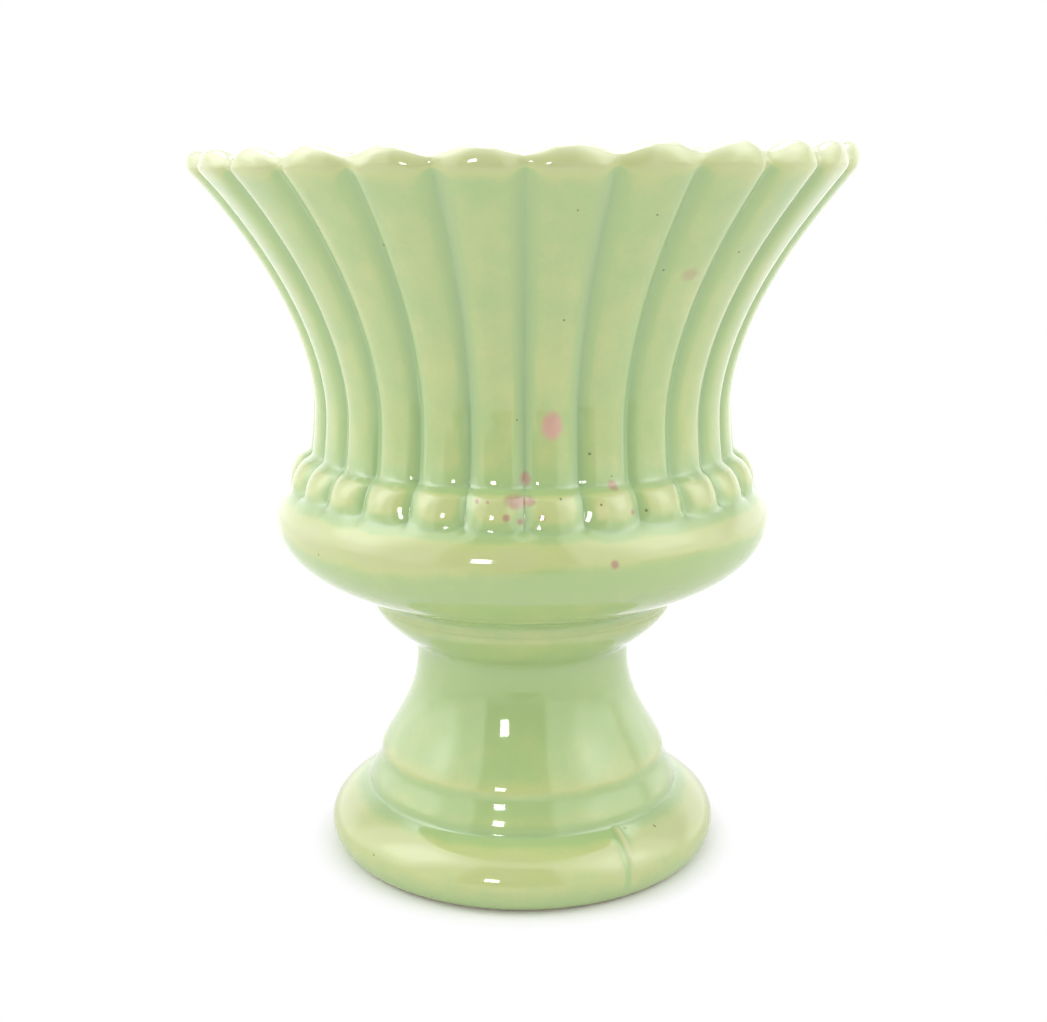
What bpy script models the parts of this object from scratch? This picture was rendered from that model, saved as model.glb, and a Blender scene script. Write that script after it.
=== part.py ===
"""Fluted pedestal vase: a ribbed bowl stuck onto a hollow pedestal with casting slip.

Metres, +Z up. The origin is the centre of the foot ring's flat underside. The front faces -Y, where
a groove between two ribs lies. Sizes below are in millimetres, and points are (radius, height).
"""
import math
from collections import namedtuple

import bmesh
import bpy
from mathutils import Vector
from mathutils.geometry import interpolate_bezier

# A cubic curve between two points of a section, drawn in a number of straight steps
Curve = namedtuple("Curve", "start first_handle second_handle end steps")

# A trumpet flare above its foot: the radius grows by a spread as a power of the height
Flare = namedtuple("Flare", "foot spread top steps")

MM = 0.001

# Ribs of the bowl
RIB_COUNT = 27
FRONT_GROOVE_DEG = 0.4
RIB_STATIONS = (0.0, 0.12, 0.35, 0.65, 0.88)
RIB_ROUNDNESS = 0.35
RIB_SHARPNESS = 3.0
LIP_SHARPNESS = 1.2
GROOVE_DEPTH_LIP = 1.4
GROOVE_DEPTH_RIM = 1.9
GROOVE_DEPTH_THROAT = 1.3
GROOVE_DEPTH_TOE = 1.8
GROOVE_DEPTH_CREASE = 0.6
NOTCH_DEPTH_RIM = 2.0
TOE_ROUNDING = 0.5
RIM_LEAN = 0.95
LEAN_START = 138.0

# Outside of the bowl
SEAT_EDGE = (32.0, 58.0)
BELLY_ARRIS = (33.4, 58.6)
BELLY_WIDEST = (52.6, 74.6)
SHOULDER = (50.3, 80.0)
TOE_CREASE = (49.5, 80.7)
TOE_TOP = (47.4, 87.2)
COVE_TOP = (45.0, 88.7)
THROAT = (44.2, 99.0)
LIP_OUTSIDE = (68.3, 147.7)
LIP_TOP = (65.7, 151.0)
LIP_INSIDE = (62.4, 148.2)
FLARE_TOP = 146.3
FLARE_HEIGHT = 49.0
FLARE_POWER = 1.75
BELLY_UNDERSIDE = Curve(BELLY_ARRIS, (43.7, 61.3), (52.6, 66.8), BELLY_WIDEST, 6)
BELLY_SHOULDER = Curve(BELLY_WIDEST, (52.6, 76.8), (51.3, 78.6), SHOULDER, 3)
ROUNDED_TOE = Curve(TOE_CREASE, (49.5, 82.4), (48.8, 85.6), TOE_TOP, 3)
COVE_ABOVE_TOE = Curve(TOE_TOP, (46.7, 87.9), (45.3, 87.9), COVE_TOP, 2)
WAIST = Curve(COVE_TOP, (44.8, 90.2), (44.2, 95.0), THROAT, 2)
OUTER_FLARE = Flare(THROAT, 25.3, FLARE_TOP, 5)
LIP_OUTER_HALF = Curve(LIP_OUTSIDE, (68.3, 149.5), (67.3, 151.0), LIP_TOP, 2)
LIP_INNER_HALF = Curve(LIP_TOP, (64.4, 151.0), (63.2, 150.1), LIP_INSIDE, 2)

# Inside of the bowl
INNER_THROAT = (39.6, 98.0)
INNER_BELLY = (47.5, 75.5)
INNER_FLOOR_EDGE = (24.0, 62.4)
INNER_GROOVE_SHARE = 0.3
INNER_FLARE = Flare(INNER_THROAT, 22.6, 145.0, 3)
INNER_SHOULDER = Curve(INNER_THROAT, (39.6, 88.0), (47.5, 86.0), INNER_BELLY, 3)
INNER_BOTTOM = Curve(INNER_BELLY, (47.5, 67.5), (38.0, 62.4), INNER_FLOOR_EDGE, 4)

# Joint between the bowl and the pedestal
TOUCHING_GAP = 0.3
MOULD_DRAFT = 0.2
SLIP_THICKNESS = 0.8
SLIP_OUTER_RADIUS = 31.5
REGISTER_RADIUS = 20.0
REGISTER_HEIGHT = 2.0
SOCKET_CLEARANCE = 0.5

# Heights of the joint, stacked down from the seat under the belly
SEAT_HEIGHT = SEAT_EDGE[1]
SLIP_TOP = SEAT_HEIGHT - TOUCHING_GAP
SLIP_BOTTOM = SLIP_TOP - SLIP_THICKNESS
LAND_HEIGHT = SLIP_BOTTOM - TOUCHING_GAP
REGISTER_BOTTOM = SEAT_HEIGHT - REGISTER_HEIGHT
SOCKET_RADIUS = REGISTER_RADIUS + SOCKET_CLEARANCE
SOCKET_FLOOR = REGISTER_BOTTOM - TOUCHING_GAP

# Outside of the pedestal
COLLAR_TOP = (31.7, LAND_HEIGHT)
COLLAR_FOOT = (24.8, 47.4)
NECK = (23.2, 43.0)
STEM_FOOT = (31.3, 21.9)
UPPER_GROOVE = (31.3, 20.2)
BEAD_TOP = (31.7, 19.2)
BEAD_FOOT = (33.9, 14.2)
LOWER_GROOVE = (33.5, 13.6)
FOOT_TOP = (34.6, 13.3)
FOOT_WIDEST = (42.5, 5.6)
FOOT_RING_OUTER = (38.5, 0.0)
COLLAR = Curve(COLLAR_TOP, (34.0, 55.0), (29.5, 50.5), COLLAR_FOOT, 5)
NECK_COVE = Curve(COLLAR_FOOT, (23.6, 46.6), (23.2, 45.0), NECK, 2)
STEM = Curve(NECK, (23.2, 33.6), (28.6, 27.4), STEM_FOOT, 6)
BEAD = Curve(BEAD_TOP, (32.4, 18.5), (33.6, 15.8), BEAD_FOOT, 3)
FOOT_UPPER = Curve(FOOT_TOP, (38.4, 11.8), (42.5, 9.1), FOOT_WIDEST, 5)
FOOT_LOWER = Curve(FOOT_WIDEST, (42.5, 2.8), (40.9, 0.5), FOOT_RING_OUTER, 4)

# Inside of the pedestal
FOOT_RING_INNER = (33.4, 0.0)
HOLLOW_FOOT = (32.6, 0.9)
HOLLOW_SKIRT = (31.4, 9.0)
HOLLOW_NECK = (18.2, 41.0)
HOLLOW_CROWN = (12.5, 50.0)
HOLLOW_WALL = Curve(HOLLOW_SKIRT, (29.0, 17.0), (18.2, 27.0), HOLLOW_NECK, 4)
HOLLOW_DOME = Curve(HOLLOW_NECK, (18.2, 47.0), (16.5, 50.0), HOLLOW_CROWN, 3)
PEDESTAL_SIDES = 56

# Finishes, as linear colours
GLAZE_COLOR = (0.445, 0.578, 0.270, 1.0)
BARE_CLAY_COLOR = (0.672, 0.552, 0.381, 1.0)
GLAZE_ROUGHNESS = 0.12
BARE_CLAY_ROUGHNESS = 0.85
CREASE_ANGLE_DEG = 35.0


def along_curve(curve):
    """Points on a cubic curve after its start, up to and including its end."""
    knots = [Vector(point) for point in curve[:4]]
    return [tuple(point) for point in interpolate_bezier(*knots, curve.steps + 1)[1:]]


def along_flare(flare):
    """Points up a flare, above its foot and up to its top."""
    foot_radius, foot_height = flare.foot
    points = []
    for step in range(1, flare.steps + 1):
        climb = (flare.top - foot_height) * step / flare.steps
        points.append((foot_radius + flare.spread * (climb / FLARE_HEIGHT) ** FLARE_POWER, foot_height + climb))
    return points


def groove_share(station, sharpness):
    """Depth at a place across a rib, as a share of the groove's: 1 in the groove, 0 on the crest."""
    from_crest = abs(2.0 * station - 1.0)
    narrow_groove = 0.5 - 0.5 * math.cos(math.pi * from_crest ** sharpness)
    round_rib = from_crest ** 2
    return (1.0 - RIB_ROUNDNESS) * narrow_groove + RIB_ROUNDNESS * round_rib


def ring_point(radius, height, turn):
    """A point at a turn measured from the front, towards +X."""
    return Vector((radius * math.sin(turn), -radius * math.cos(turn), height)) * MM


def plain_ring(radius, height):
    """A round ring of points for the pedestal and its joint."""
    turns = [2.0 * math.pi * side / PEDESTAL_SIDES for side in range(PEDESTAL_SIDES)]
    return [ring_point(radius, height, turn) for turn in turns]


def ribbed_ring(radius, height, groove_depth=0.0, groove_rise=0.0, sharpness=RIB_SHARPNESS):
    """A ring through the rib crests that dips in every groove and, near the rim, leans up to the right."""
    lean = RIM_LEAN * (max(0.0, height - LEAN_START) / (LIP_TOP[1] - LEAN_START)) ** 2
    points = []
    for rib in range(RIB_COUNT):
        for station in RIB_STATIONS:
            share = groove_share(station, sharpness)
            turn = math.radians(FRONT_GROOVE_DEG) + 2.0 * math.pi * (rib + station) / RIB_COUNT
            place_radius = radius - groove_depth * share
            leaning_lift = lean * math.sin(turn) * place_radius / LIP_TOP[0]
            points.append(ring_point(place_radius, height + groove_rise * share + leaning_lift, turn))
    return points


def plain_finish(name, color, roughness):
    """A surface with one colour and one gloss."""
    material = bpy.data.materials.new(name)
    material.use_nodes = True
    shader = material.node_tree.nodes["Principled BSDF"]
    shader.inputs["Base Color"].default_value = color
    shader.inputs["Roughness"].default_value = roughness
    shader.inputs["Metallic"].default_value = 0.0
    return material


def solid_from_rings(name, rings, is_loop, material, parent):
    """One closed body skinned over rings of points: a loop of rings, or a stack with capped ends."""
    mesh = bpy.data.meshes.new(name)
    body = bmesh.new()
    loops = [[body.verts.new(point) for point in ring] for ring in rings]
    pairs = list(zip(loops, loops[1:]))
    if is_loop:
        pairs.append((loops[-1], loops[0]))
    else:
        body.faces.new(loops[0])
        body.faces.new(loops[-1])
    for lower, upper in pairs:
        sides = len(lower)
        for side in range(sides):
            following = (side + 1) % sides
            body.faces.new((lower[side], lower[following], upper[following], upper[side]))
    bmesh.ops.recalc_face_normals(body, faces=body.faces)
    body.to_mesh(mesh)
    body.free()
    mesh.shade_smooth()
    mesh.set_sharp_from_angle(angle=math.radians(CREASE_ANGLE_DEG))
    mesh.materials.append(material)
    piece = bpy.data.objects.new(name, mesh)
    piece.parent = parent
    bpy.context.collection.objects.link(piece)
    return piece


def bowl_underside():
    """Round stations from the register under the floor, across the seat, to the belly's shoulder."""
    register = [(REGISTER_RADIUS - MOULD_DRAFT, REGISTER_BOTTOM), (REGISTER_RADIUS, SEAT_HEIGHT)]
    belly = [SEAT_EDGE, BELLY_ARRIS] + along_curve(BELLY_UNDERSIDE) + along_curve(BELLY_SHOULDER)
    return register + belly


def bowl_ribs():
    """Ribbed stations from the rounded toes up the throat and the flare."""
    stations = [(*TOE_CREASE, GROOVE_DEPTH_CREASE, TOE_ROUNDING)]
    stations += [(radius, height, GROOVE_DEPTH_TOE) for radius, height in along_curve(ROUNDED_TOE)]
    above_toes = along_curve(COVE_ABOVE_TOE) + along_curve(WAIST)
    stations += [(radius, height, GROOVE_DEPTH_THROAT) for radius, height in above_toes]
    for radius, height in along_flare(OUTER_FLARE):
        rise = (height - THROAT[1]) / FLARE_HEIGHT
        depth = GROOVE_DEPTH_THROAT + (GROOVE_DEPTH_RIM - GROOVE_DEPTH_THROAT) * rise
        stations.append((radius, height, depth))
    return stations


def bowl_rim():
    """Stations over the rounded lip, notched where each groove reaches it."""
    lip = [LIP_OUTSIDE] + along_curve(LIP_OUTER_HALF) + along_curve(LIP_INNER_HALF)
    stations = []
    for radius, height in lip:
        notch = NOTCH_DEPTH_RIM * (height - FLARE_TOP) / (LIP_TOP[1] - FLARE_TOP)
        stations.append((radius, height, GROOVE_DEPTH_LIP, -notch, LIP_SHARPNESS))
    return stations


def bowl_inside():
    """Stations down the inside: soft ribs near the rim, then a smooth throat, belly and floor."""
    stations = []
    for radius, height in reversed(along_flare(INNER_FLARE)):
        rise = (height - INNER_THROAT[1]) / FLARE_HEIGHT
        stations.append((radius, height, GROOVE_DEPTH_RIM * INNER_GROOVE_SHARE * rise))
    return stations + [INNER_THROAT] + along_curve(INNER_SHOULDER) + along_curve(INNER_BOTTOM)


def build_bowl(material, parent):
    """The ribbed bowl casting: outside from the floor up, over the rim, and down the inside."""
    stations = bowl_underside() + bowl_ribs() + bowl_rim() + bowl_inside()
    rings = [ribbed_ring(*station) for station in stations]
    return solid_from_rings("fluted_bowl", rings, False, material, parent)


def pedestal_outside():
    """Points from the socket on top, down the collar, stem and bead, to the foot ring."""
    points = [(SOCKET_RADIUS - MOULD_DRAFT, SOCKET_FLOOR), (SOCKET_RADIUS, LAND_HEIGHT), COLLAR_TOP]
    points += along_curve(COLLAR) + along_curve(NECK_COVE) + along_curve(STEM)
    points += [UPPER_GROOVE, BEAD_TOP] + along_curve(BEAD)
    points += [LOWER_GROOVE, FOOT_TOP] + along_curve(FOOT_UPPER) + along_curve(FOOT_LOWER)
    return points


def pedestal_inside():
    """Points from the foot ring's inner edge up the hollow to its closed crown."""
    skirt = [FOOT_RING_INNER, HOLLOW_FOOT, HOLLOW_SKIRT]
    return skirt + along_curve(HOLLOW_WALL) + along_curve(HOLLOW_DOME)


def build_pedestal(material, parent):
    """The hollow pedestal casting, closed on top and open underneath."""
    rings = [plain_ring(radius, height) for radius, height in pedestal_outside() + pedestal_inside()]
    return solid_from_rings("pedestal", rings, False, material, parent)


def build_joint_slip(material, parent):
    """The flat ring of dried slip between the bowl's seat and the pedestal's land."""
    inner_radius = SOCKET_RADIUS + TOUCHING_GAP
    corners = [
        (SLIP_OUTER_RADIUS, SLIP_TOP),
        (SLIP_OUTER_RADIUS, SLIP_BOTTOM),
        (inner_radius, SLIP_BOTTOM),
        (inner_radius, SLIP_TOP),
    ]
    rings = [plain_ring(radius, height) for radius, height in corners]
    return solid_from_rings("joint_slip", rings, True, material, parent)


def main():
    for leftover in list(bpy.data.objects):
        bpy.data.objects.remove(leftover, do_unlink=True)
    vase = bpy.data.objects.new("fluted_vase", None)
    bpy.context.collection.objects.link(vase)
    build_bowl(plain_finish("bowl_glaze", GLAZE_COLOR, GLAZE_ROUGHNESS), vase)
    build_pedestal(plain_finish("pedestal_glaze", GLAZE_COLOR, GLAZE_ROUGHNESS), vase)
    build_joint_slip(plain_finish("bare_clay", BARE_CLAY_COLOR, BARE_CLAY_ROUGHNESS), vase)


main()
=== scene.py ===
# %% [markdown]
# # A fluted pedestal vase in a pale green glaze
# The vase is slip-cast earthenware: a ribbed bowl with a scalloped rim is stuck onto a hollow, waisted
# pedestal, and one glossy pale green glaze runs over everything. This lesson draws it as surfaces worked
# out with numpy, paints the glaze by how thick it would lie, and lights it like a small white studio.
# The imported CAD model is loaded first, because it fixes where everything is. Its parts are kept, and
# each is hidden once the finished piece that replaces it is made.

# %% Load the imported model
import math

import bpy
import numpy as np
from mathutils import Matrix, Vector


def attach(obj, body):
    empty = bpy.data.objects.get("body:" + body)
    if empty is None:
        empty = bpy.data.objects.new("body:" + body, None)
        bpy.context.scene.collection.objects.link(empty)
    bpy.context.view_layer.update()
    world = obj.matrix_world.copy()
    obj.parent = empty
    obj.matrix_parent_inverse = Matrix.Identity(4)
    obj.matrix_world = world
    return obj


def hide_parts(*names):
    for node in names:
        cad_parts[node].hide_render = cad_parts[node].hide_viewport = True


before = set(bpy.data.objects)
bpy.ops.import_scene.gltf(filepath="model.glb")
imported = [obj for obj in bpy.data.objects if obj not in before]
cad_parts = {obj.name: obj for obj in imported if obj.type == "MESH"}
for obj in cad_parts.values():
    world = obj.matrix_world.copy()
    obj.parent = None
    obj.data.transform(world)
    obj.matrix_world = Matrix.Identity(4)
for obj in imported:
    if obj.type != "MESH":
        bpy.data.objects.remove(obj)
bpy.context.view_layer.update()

MM = 0.001

# %% [markdown]
# ## The camera
# The photograph is a close view from just below the rim's height, tilted down. The place and the lens
# were found by fitting circles of the vase (rim, belly, grooves and foot) to the picture, so the camera
# is written as a distance, a height, a tilt and a focal length in pixels of the photograph.

# %% Camera
CAMERA_DISTANCE = 316.5 * MM
CAMERA_HEIGHT = 146.4 * MM
CAMERA_TILT_DEG = 12.90
FOCAL_PIXELS = 1500.0
PHOTO_WIDTH = 1047.0
SENSOR_WIDTH = 36.0
SIDE_SHIFT = 0.001
NEAREST_SEEN = 10 * MM

lens = bpy.data.cameras.new("photo_camera")
lens.sensor_width = SENSOR_WIDTH
lens.lens = FOCAL_PIXELS * SENSOR_WIDTH / PHOTO_WIDTH
lens.shift_x = SIDE_SHIFT
lens.clip_start = NEAREST_SEEN
camera = bpy.data.objects.new("photo_camera", lens)
camera.location = (0.0, -CAMERA_DISTANCE, CAMERA_HEIGHT)
camera.rotation_euler = (math.radians(90.0 - CAMERA_TILT_DEG), 0.0, 0.0)
bpy.context.scene.collection.objects.link(camera)
bpy.context.scene.camera = camera
print("camera lens", round(lens.lens, 2), "mm")

# %% [markdown]
# ## Drawing a section
# Bowl and pedestal were both turned on a lathe as plaster models before moulds were taken, so each is a
# section carried round an axis. The section is a chain of cubic curves and trumpet flares, in millimetres
# as (radius, height). A spline tool could draw the same line by hand, but a chain of curves keeps every
# measured point of the vase readable.

# %% Section curves
FLARE_HEIGHT = 49.0
FLARE_POWER = 1.75
CURVE_STEPS = 40
FLARE_STEPS = 60


def cubic(start, first_handle, second_handle, end, steps=CURVE_STEPS):
    """Points of a cubic curve: the four knots weighted by (1-t)^3, 3t(1-t)^2, 3t^2(1-t) and t^3."""
    t = np.linspace(0.0, 1.0, steps)[:, None]
    weights = np.hstack([(1 - t) ** 3, 3 * t * (1 - t) ** 2, 3 * t**2 * (1 - t), t**3])
    return weights @ np.array([start, first_handle, second_handle, end])


def trumpet(foot, spread, top):
    """Points of a flare: radius = foot radius + spread x (climb / 49 mm) to the power 1.75."""
    height = np.linspace(foot[1], top, FLARE_STEPS)
    climb = (height - foot[1]) / FLARE_HEIGHT
    return np.column_stack([foot[0] + spread * climb**FLARE_POWER, height])


print("a curve has", CURVE_STEPS, "points and a flare", FLARE_STEPS)

# %% [markdown]
# ## Rounding by the glaze
# A fired glaze melts and flows, so no corner of the clay stays sharp: edges round over and creases fill.
# A Bevel modifier could do that edge by edge. Here the whole section is redrawn in even small steps and
# each point becomes the mean of its neighbours under a bell curve, which rounds every corner by the
# same thickness, as a coat does. Rows of the mesh are then crowded where the section turns most.

# %% Softened section and rows
EVEN_STEP = 0.1
BELL_REACH = 3
NEARLY_STRAIGHT = 1e-6
TURN_PER_ROW = 0.13
FINEST_ROW = 0.32
WIDEST_ROW = 1.1
FLOOR_ROW = 4.0
LEVEL_SLOPE = 0.02


def path_length(section):
    """Length along the section from its first point to each point, in mm."""
    steps = np.diff(section[:, :2], axis=0)
    return np.concatenate([[0.0], np.cumsum(np.hypot(steps[:, 0], steps[:, 1]))])


def soften(section, rounding):
    """Even points along the section, each the mean of its neighbours under a bell curve of that width:
    weight = e to the power of minus half the square of (distance / width)."""
    length = path_length(section)
    places = np.arange(0.0, length[-1], EVEN_STEP)
    even = np.column_stack([np.interp(places, length, column) for column in section.T])
    reach = int(BELL_REACH * rounding / EVEN_STEP)
    weights = np.exp(-0.5 * (np.arange(-reach, reach + 1) * EVEN_STEP / rounding) ** 2)
    weights = weights / weights.sum()
    padded = np.pad(even, ((reach, reach), (0, 0)), mode="edge")
    return np.column_stack([np.convolve(column, weights, mode="valid") for column in padded.T])


def crowd_rows(section):
    """Rows along the section, spaced so that it turns by one small angle from each to the next. The spacing
    has a lower and an upper limit, and the upper one is wider on level floors."""
    steps = np.diff(section[:, :2], axis=0)
    length = np.hypot(steps[:, 0], steps[:, 1])
    heading = np.unwrap(np.arctan2(steps[:, 1], steps[:, 0]))
    bend = np.abs(np.gradient(heading)) / length
    widest = np.where(np.abs(np.sin(heading)) < LEVEL_SLOPE, FLOOR_ROW, WIDEST_ROW)
    spacing = np.clip(TURN_PER_ROW / np.maximum(bend, NEARLY_STRAIGHT), FINEST_ROW, widest)
    count = np.concatenate([[0.0], np.cumsum(length / spacing)])
    rows = np.linspace(0.0, count[-1], int(round(count[-1])) + 1)
    return np.column_stack([np.interp(rows, count, column) for column in section.T])


print("rows lie", FINEST_ROW, "to", WIDEST_ROW, "mm apart, and up to", FLOOR_ROW, "mm on level floors")

# %% [markdown]
# ## The bowl's outline
# From the hidden register under the floor the line runs out across the seat, round the fat belly, in to
# a soft crease, up over the rounded toes of the ribs and the narrow throat, out along the flare, over
# the lip and down the inside to a flat floor. The inside can't be seen in the photograph, so it follows
# an even cast wall of about five millimetres.

# %% Bowl outline
CENTRE_HOLE = 1.0
REGISTER_BOTTOM = 56.0
REGISTER_RADIUS = 20.0
REGISTER_DRAFT = 0.2
SEAT = 58.0
SEAT_EDGE = 32.0
BELLY_ARRIS = (33.4, 58.6)
BELLY_WIDEST = (52.6, 74.6)
SHOULDER = (50.3, 80.0)
TOE_CREASE = (49.5, 80.7)
TOE_BULGE = (49.5, 82.1)
TOE_TOP = (47.4, 87.2)
COVE_TOP = (45.0, 88.7)
THROAT = (44.2, 99.0)
FLARE_SPREAD = 25.3
FLARE_TOP = 146.3
LIP_OUTSIDE = (68.1, 147.6)
LIP_TOP = (65.7, 150.8)
LIP_INSIDE = (62.4, 148.2)
INNER_FLARE_TOP = 145.0
INNER_SPREAD = 22.6
INNER_THROAT = (39.6, 98.0)
INNER_BELLY = (47.5, 75.5)
FLOOR_EDGE = (24.0, 62.4)

register = np.array([
    (CENTRE_HOLE, REGISTER_BOTTOM), (REGISTER_RADIUS - REGISTER_DRAFT, REGISTER_BOTTOM),
    (REGISTER_RADIUS, SEAT), (SEAT_EDGE, SEAT), BELLY_ARRIS,
])
underside = cubic(BELLY_ARRIS, (43.7, 61.3), (52.6, 66.8), BELLY_WIDEST)
shoulder = cubic(BELLY_WIDEST, (52.6, 76.8), (51.3, 78.6), SHOULDER)
toe_foot = cubic(TOE_CREASE, (49.4, 81.1), (49.42, 81.6), TOE_BULGE)
toe = cubic(TOE_BULGE, (49.5, 83.7), (48.8, 85.7), TOE_TOP)
cove = cubic(TOE_TOP, (46.7, 87.9), (45.3, 87.9), COVE_TOP)
waist = cubic(COVE_TOP, (44.8, 90.2), (44.2, 95.0), THROAT)
flare = trumpet(THROAT, FLARE_SPREAD, FLARE_TOP)
lip_outer = cubic(LIP_OUTSIDE, (68.1, 149.4), (67.3, LIP_TOP[1]), LIP_TOP)
lip_inner = cubic(LIP_TOP, (64.4, LIP_TOP[1]), (63.2, 150.0), LIP_INSIDE)
inner_flare = trumpet(INNER_THROAT, INNER_SPREAD, INNER_FLARE_TOP)[::-1]
inner_shoulder = cubic(INNER_THROAT, (39.6, 88.0), (47.5, 86.0), INNER_BELLY)
inner_bottom = cubic(INNER_BELLY, (47.5, 67.5), (38.0, 62.4), FLOOR_EDGE)
floor = np.array([FLOOR_EDGE, (CENTRE_HOLE, FLOOR_EDGE[1])])
print("the flare's radius at its top is", flare[-1, 0].round(2), "mm")

# %% [markdown]
# ## Ribs along the section
# Twenty-seven ribs run from the toes to the rim, and they change on the way: round and deep on the toes,
# flatter on the flare, and a plain wave on the lip. So four values run along the outline beside each
# point: how deep the groove is, how round the rib is, how far the groove's bottom rises or drops, and
# how narrow the groove is. Separate ribs could be modelled and joined on, but values that go through the
# same softening as the outline let ribs, toes and lip flow into each other, as glazed clay does.

# %% Bowl section with its ribs
BOWL_ROUNDING = 0.7
FLAT_RIB = 0.35
ROUND_RIB = 0.6
ROUND_TOE = 1.0
WAVY_LIP = 0.0
NARROW_GROOVE = 3.0
WIDE_GROOVE = 1.2
CREASE_GROOVE = 0.6
TOE_GROOVE = 1.8
THROAT_GROOVE = 1.3
RIM_GROOVE = 1.9
LIP_GROOVE = 1.4
INNER_GROOVE = 0.57
TOE_RISE = 0.5
OUTER_NOTCH = -0.6
RIM_NOTCH = -2.0
INNER_NOTCH = -1.0


def stretch(
    points, groove=(0.0, 0.0), roundness=(FLAT_RIB, FLAT_RIB), rise=(0.0, 0.0), sharpness=NARROW_GROOVE
):
    """Section points with groove depth, rib roundness, groove rise and groove sharpness beside them, where
    the first three run from a first to a last value."""
    share = np.linspace(0.0, 1.0, len(points))
    ribs = [first + (last - first) * share for first, last in (groove, roundness, rise)]
    return np.column_stack([points, *ribs, np.full(len(points), sharpness)])


lip_groove = (LIP_GROOVE, LIP_GROOVE)
lip_wave = (WAVY_LIP, WAVY_LIP)
bowl_section = crowd_rows(soften(np.vstack([
    stretch(register),
    stretch(underside),
    stretch(shoulder, roundness=(FLAT_RIB, ROUND_TOE)),
    stretch(toe_foot, (CREASE_GROOVE, TOE_GROOVE), (ROUND_TOE, ROUND_TOE), (TOE_RISE, 0.0)),
    stretch(toe, (TOE_GROOVE, TOE_GROOVE), (ROUND_TOE, ROUND_TOE)),
    stretch(cove, (TOE_GROOVE, THROAT_GROOVE), (ROUND_TOE, ROUND_RIB)),
    stretch(waist, (THROAT_GROOVE, THROAT_GROOVE), (ROUND_RIB, ROUND_RIB)),
    stretch(flare, (THROAT_GROOVE, RIM_GROOVE), (ROUND_RIB, FLAT_RIB)),
    stretch(lip_outer, lip_groove, lip_wave, (OUTER_NOTCH, RIM_NOTCH), WIDE_GROOVE),
    stretch(lip_inner, lip_groove, lip_wave, (RIM_NOTCH, INNER_NOTCH), WIDE_GROOVE),
    stretch(inner_flare, (INNER_GROOVE, 0.0), (ROUND_RIB, ROUND_RIB)),
    stretch(inner_shoulder),
    stretch(inner_bottom),
    stretch(floor),
]), BOWL_ROUNDING))
print("bowl section", len(bowl_section), "rows")

# %% [markdown]
# ## Ribs round the bowl
# Across one rib the clay is nearly flat with a soft narrow groove on each side, and the toes and rim
# lobes are rounder. An array of one modelled rib would need its seams welded. Here the depth is a mix of
# a narrow bell, raised to a power so that it stays in the groove, and a plain parabola, worked out for
# the whole ring at once. Columns of the mesh are crowded in the grooves.

# %% Ribs and columns
RIB_COUNT = 27
FRONT_GROOVE_DEG = 0.4
HALF_COLUMNS = 7
COLUMN_CROWDING = 1.6


def rib_share(station, roundness, sharpness):
    """Share of the groove's depth: 1 in the groove, 0 on the crest, with u the distance from the crest:
    (1 - roundness) x (half a cosine wave of u to the power of the sharpness) + roundness x (u squared)."""
    from_crest = np.abs(2.0 * station - 1.0)
    narrow = 0.5 - 0.5 * np.cos(np.pi * from_crest**sharpness)
    return (1.0 - roundness) * narrow + roundness * from_crest**2


half_step = np.arange(-HALF_COLUMNS, HALF_COLUMNS) / HALF_COLUMNS
from_groove = 0.5 * np.sign(half_step) * np.abs(half_step) ** COLUMN_CROWDING
rib_pitch = 2.0 * np.pi / RIB_COUNT
in_ribs = (np.arange(RIB_COUNT)[:, None] + from_groove[None, :]).ravel()
bowl_turn = math.radians(FRONT_GROOVE_DEG) + rib_pitch * in_ribs

crest_radius, crest_height, groove, roundness, rise, sharpness = bowl_section.T[:, :, None]
share = rib_share(in_ribs[None, :] % 1.0, roundness, sharpness)
ring_radius = crest_radius - groove * share
ring_height = crest_height + rise * share
is_outside = np.arange(len(bowl_section))[:, None] < np.argmax(bowl_section[:, 1])
print(RIB_COUNT, "ribs of", 2 * HALF_COLUMNS, "columns each")

# %% [markdown]
# ## Made by hand
# The mould was trimmed by hand and the rim warped a little in the kiln, so lobes and toes differ slightly
# and the rim leans to one side by about a millimetre. Sculpting could add that, but it could not be
# repeated. Small random shifts with a fixed seed give the same vase on every run.

# %% Bowl surface with its handwork
HAND_SEED = 27
LOBE_VARIATION = 0.12
LOBE_REACH = 4.0
TOE_VARIATION = 0.2
TOE_FOOT_HEIGHT = TOE_CREASE[1] + 1.0
TOE_FOOT_REACH = 2.5
RIM_LEAN = 0.95
LEAN_START = 138.0


def bell(value, middle, width):
    """A smooth bump, e to the power of -((value - middle) / width) squared: 1 at the middle."""
    return np.exp(-(((value - middle) / width) ** 2))


def ring_points(radius, height, turn):
    """Points at a turn measured from the front (-Y) towards +X: (r sin, -r cos, height), in mm."""
    return np.stack(np.broadcast_arrays(radius * np.sin(turn), -radius * np.cos(turn), height), axis=2)


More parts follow.
